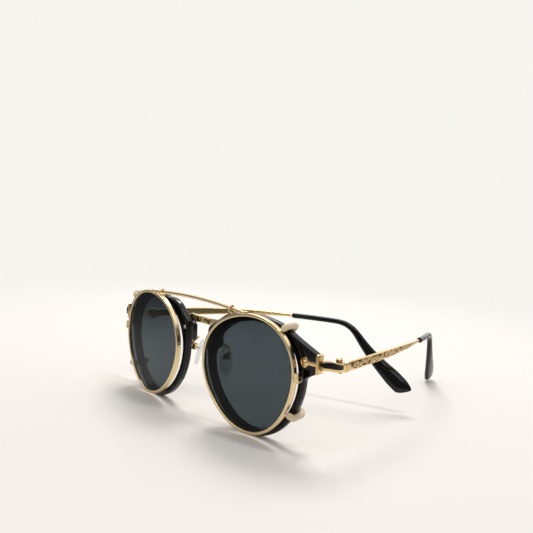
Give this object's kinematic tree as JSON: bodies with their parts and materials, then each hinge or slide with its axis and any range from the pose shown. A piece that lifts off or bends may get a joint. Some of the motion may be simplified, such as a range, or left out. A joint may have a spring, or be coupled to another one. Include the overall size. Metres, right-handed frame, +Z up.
{
  "type": "flip up sunglasses",
  "caption": "Round black spectacles with engraved metal temples on screw hinges, rocking nose pads and a hook-on sun clip with a brow bar.",
  "frame": {"origin": "on the table, under the middle of the whole object as it rests", "axes": "+Z up, +X towards the wearer's left, the lenses face -Y, the temples run towards +Y"},
  "size_m": [0.139, 0.1612, 0.0554],
  "materials": {
    "acetate": "polished black acetate",
    "inlay": "black enamel",
    "gold": "polished yellow gold plate",
    "pale_gold": "polished pale gold plate",
    "silver": "polished silver",
    "clear_lens": "clear lens",
    "sun_lens": "dark grey lens",
    "nose_pad": "clear soft silicone",
    "sleeve": "beige soft tubing"
  },
  "bodies": {
    "front": {"left_rim": "acetate", "right_rim": "acetate", "bridge": "gold", "bridge_rivets": "silver", "left_clear_lens": "clear_lens", "right_clear_lens": "clear_lens", "left_pad_arm": "gold", "right_pad_arm": "gold", "left_pad_box": "gold", "right_pad_box": "gold", "left_end_cap": "gold", "right_end_cap": "gold", "end_cap_rivets": "gold", "left_hinge_arm": "gold", "right_hinge_arm": "gold", "left_arm_inlay": "inlay", "right_arm_inlay": "inlay", "left_hinge_screw": "gold", "right_hinge_screw": "gold"},
    "left_temple": {"left_temple": "gold", "left_temple_tip": "acetate"},
    "right_temple": {"right_temple": "gold", "right_temple_tip": "acetate"},
    "left_pad": {"left_pad": "nose_pad"},
    "right_pad": {"right_pad": "nose_pad"},
    "clip": {"left_eyewire": "pale_gold", "right_eyewire": "pale_gold", "left_sun_lens": "sun_lens", "right_sun_lens": "sun_lens", "brow_bar": "pale_gold", "left_bar_loop": "pale_gold", "right_bar_loop": "pale_gold", "left_closing_block": "pale_gold", "right_closing_block": "pale_gold", "closing_screws": "pale_gold", "left_upper_prong": "pale_gold", "left_lower_prong": "pale_gold", "right_upper_prong": "pale_gold", "right_lower_prong": "pale_gold", "left_upper_sleeve": "sleeve", "left_lower_sleeve": "sleeve", "right_upper_sleeve": "sleeve", "right_lower_sleeve": "sleeve"}
  },
  "joints": [
    {"name": "left_temple_fold", "type": "hinge", "parent": "front", "child": "left_temple", "pos_m": [0.0648, -0.0542, 0.03424], "axis": [0.1287, -0.0332, 0.9911], "range_deg": [-2, 18]},
    {"name": "right_temple_fold", "type": "hinge", "parent": "front", "child": "right_temple", "pos_m": [-0.0648, -0.0542, 0.03424], "axis": [-0.1287, -0.0332, 0.9911], "range_deg": [-28, 49]},
    {"name": "left_pad_rock", "type": "hinge", "parent": "front", "child": "left_pad", "pos_m": [0.0112, -0.0675, 0.02854], "axis": [0.6561, 0.7547, 0], "range_deg": [-8, 8]},
    {"name": "right_pad_rock", "type": "hinge", "parent": "front", "child": "right_pad", "pos_m": [-0.0112, -0.0675, 0.02854], "axis": [-0.6561, 0.7547, 0], "range_deg": [-8, 8]},
    {"name": "clip_pull_off", "type": "slide", "parent": "front", "child": "clip", "axis": [0, -1, 0], "range_m": [0, 0.012], "deforming": ["left_upper_prong", "left_lower_prong", "right_upper_prong", "right_lower_prong", "left_upper_sleeve", "left_lower_sleeve", "right_upper_sleeve", "right_lower_sleeve"]}
  ]
}
